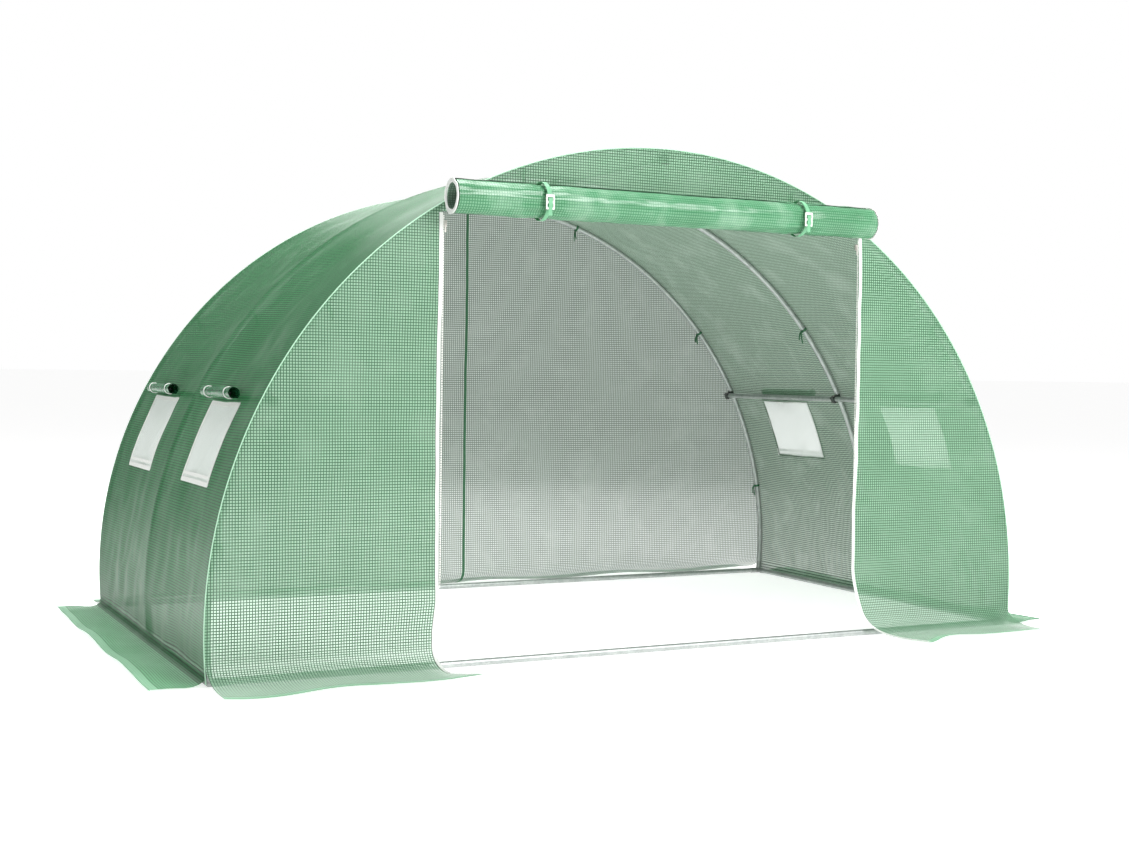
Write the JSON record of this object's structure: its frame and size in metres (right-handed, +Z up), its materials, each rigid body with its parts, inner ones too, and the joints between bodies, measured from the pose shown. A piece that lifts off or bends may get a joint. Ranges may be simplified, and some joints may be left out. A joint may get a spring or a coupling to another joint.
{
  "type": "walk-in tunnel greenhouse",
  "caption": "Walk-in tunnel greenhouse with steel-tube hoops, a green grid-film cover, a roll-up front door, roll-up side windows and ground skirts.",
  "frame": {"origin": "on the ground, at the middle of the plan", "axes": "+X to the right across the tunnel, +Y from the front door to the back, +Z up"},
  "size_m": [4.0222, 2.4, 2],
  "materials": {
    "galvanised_tube": "galvanised, dull with a soft spangle",
    "fitting_steel": "galvanised pressed steel",
    "clip_plastic": "moulded",
    "bolt_steel": "zinc plated",
    "tie_tape": "woven tape",
    "window_mesh": "fine insect mesh",
    "flap_fabric": "grid film, several layers rolled",
    "elastic": "white elastic",
    "white_binding": "woven binding tape",
    "door_fabric": "reinforced grid film, rolled",
    "strap_webbing": "woven webbing",
    "buckle_plastic": "moulded side-release buckle",
    "zip_tape": "woven zip tape with moulded teeth",
    "slider_metal": "zinc alloy",
    "cover_fabric": "translucent reinforced grid film"
  },
  "bodies": {
    "root": {"back_ground_tubes": "galvanised_tube", "back_hoop_crown": "galvanised_tube", "back_hoop_left_leg": "galvanised_tube", "back_hoop_right_leg": "galvanised_tube", "back_left_wall": "cover_fabric", "back_left_window_screen": "window_mesh", "back_panel": "cover_fabric", "back_right_wall": "cover_fabric", "back_right_window_screen": "window_mesh", "back_roof": "cover_fabric", "back_skirt": "cover_fabric", "clip_bolts": "bolt_steel", "clip_nuts": "bolt_steel", "corner_fittings": "fitting_steel", "cover_ties": "tie_tape", "door_header": "cover_fabric", "door_zips": "zip_tape", "foot_tees": "fitting_steel", "front_ground_tubes": "galvanised_tube", "front_hoop_crown": "galvanised_tube", "front_hoop_left_leg": "galvanised_tube", "front_hoop_right_leg": "galvanised_tube", "front_left_wall": "cover_fabric", "front_left_window_screen": "window_mesh", "front_panel_left": "cover_fabric", "front_panel_right": "cover_fabric", "front_right_wall": "cover_fabric", "front_right_window_screen": "window_mesh", "front_roof": "cover_fabric", "front_skirt_left": "cover_fabric", "front_skirt_right": "cover_fabric", "left_ground_tubes": "galvanised_tube", "middle_hoop_crown": "galvanised_tube", "middle_hoop_left_leg": "galvanised_tube", "middle_hoop_right_leg": "galvanised_tube", "purlin_clips": "clip_plastic", "ridge_tubes": "galvanised_tube", "right_ground_tubes": "galvanised_tube", "side_purlin_tubes": "galvanised_tube", "side_skirt_left": "cover_fabric", "side_skirt_right": "cover_fabric"},
    "door_carrier": {"door_curtain": "door_fabric", "door_strap_loops": "strap_webbing"},
    "door_roll": {"door_roll": "door_fabric", "door_roll_edges": "white_binding"},
    "strap_left": {"door_strap_left": "strap_webbing", "strap_buckle_left": "buckle_plastic"},
    "strap_right": {"door_strap_right": "strap_webbing", "strap_buckle_right": "buckle_plastic"},
    "zip_slider_left": {"zip_slider_left": "slider_metal"},
    "zip_slider_right": {"zip_slider_right": "slider_metal"},
    "front_left_flap": {"front_left_window_flap": "flap_fabric", "front_left_flap_loops": "elastic"},
    "front_right_flap": {"front_right_window_flap": "flap_fabric", "front_right_flap_loops": "elastic"},
    "back_left_flap": {"back_left_window_flap": "flap_fabric", "back_left_flap_loops": "elastic"},
    "back_right_flap": {"back_right_window_flap": "flap_fabric", "back_right_flap_loops": "elastic"}
  },
  "joints": [
    {"name": "door_drop", "type": "slide", "parent": "root", "child": "door_carrier", "axis": [0, 0, -1], "range_m": [0, 1.675]},
    {"name": "door_spin", "type": "hinge", "parent": "door_carrier", "child": "door_roll", "pos_m": [0, -1.08, 1.75], "axis": [1, 0, 0], "range_deg": [0, 1372]},
    {"name": "strap_left_lift", "type": "hinge", "parent": "root", "child": "strap_left", "pos_m": [-0.58, -1.0025, 1.7896], "axis": [-1, 0, 0], "range_deg": [0, 50]},
    {"name": "strap_right_lift", "type": "hinge", "parent": "root", "child": "strap_right", "pos_m": [0.58, -1.0025, 1.7896], "axis": [-1, 0, 0], "range_deg": [0, 50]},
    {"name": "zip_left_slide", "type": "slide", "parent": "root", "child": "zip_slider_left", "axis": [0, 0, -1], "range_m": [0, 1.6]},
    {"name": "zip_right_slide", "type": "slide", "parent": "root", "child": "zip_slider_right", "axis": [0, 0, -1], "range_m": [0, 1.6]},
    {"name": "front_left_flap_drop", "type": "hinge", "parent": "root", "child": "front_left_flap", "pos_m": [0, -0.5, 0.18], "axis": [0, -1, 0], "range_deg": [0, 12]},
    {"name": "front_right_flap_drop", "type": "hinge", "parent": "root", "child": "front_right_flap", "pos_m": [0, -0.5, 0.18], "axis": [0, 1, 0], "range_deg": [0, 12]},
    {"name": "back_left_flap_drop", "type": "hinge", "parent": "root", "child": "back_left_flap", "pos_m": [0, 0.5, 0.18], "axis": [0, -1, 0], "range_deg": [0, 12]},
    {"name": "back_right_flap_drop", "type": "hinge", "parent": "root", "child": "back_right_flap", "pos_m": [0, 0.5, 0.18], "axis": [0, 1, 0], "range_deg": [0, 12]}
  ],
  "couplings": [
    {"joint": "door_spin", "follows": "door_drop", "rad_per_m": 14.286}
  ]
}
